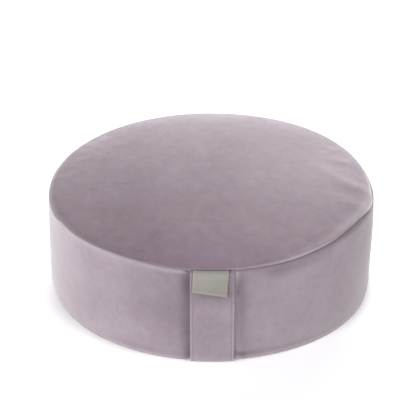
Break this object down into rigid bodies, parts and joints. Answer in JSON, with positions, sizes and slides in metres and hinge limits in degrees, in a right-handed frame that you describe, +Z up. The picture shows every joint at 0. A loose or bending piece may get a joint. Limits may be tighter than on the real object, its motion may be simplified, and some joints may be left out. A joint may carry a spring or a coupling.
{
  "type": "zafu meditation cushion",
  "caption": "Round drum-shaped floor cushion in velvet with a flat carrying strap down its side band and a small ribbon label.",
  "frame": {"origin": "on the surface the cushion stands on, under the middle of the drum", "axes": "+Z up through the middle of the drum; -Y points out through the middle of the carrying strap; +X to the right of the strap as seen from outside"},
  "size_m": [0.4215, 0.4297, 0.1427],
  "materials": {
    "velvet": "muted mauve short-pile velvet, brushed pile with a soft sheen towards its edges",
    "strap_velvet": "the same velvet folded double, topstitched close to both long edges",
    "ribbon": "warm grey ribbed ribbon, matt, left bare"
  },
  "bodies": {
    "root": {"cushion": "velvet", "handle_strap": "strap_velvet", "label": "ribbon"}
  },
  "joints": []
}
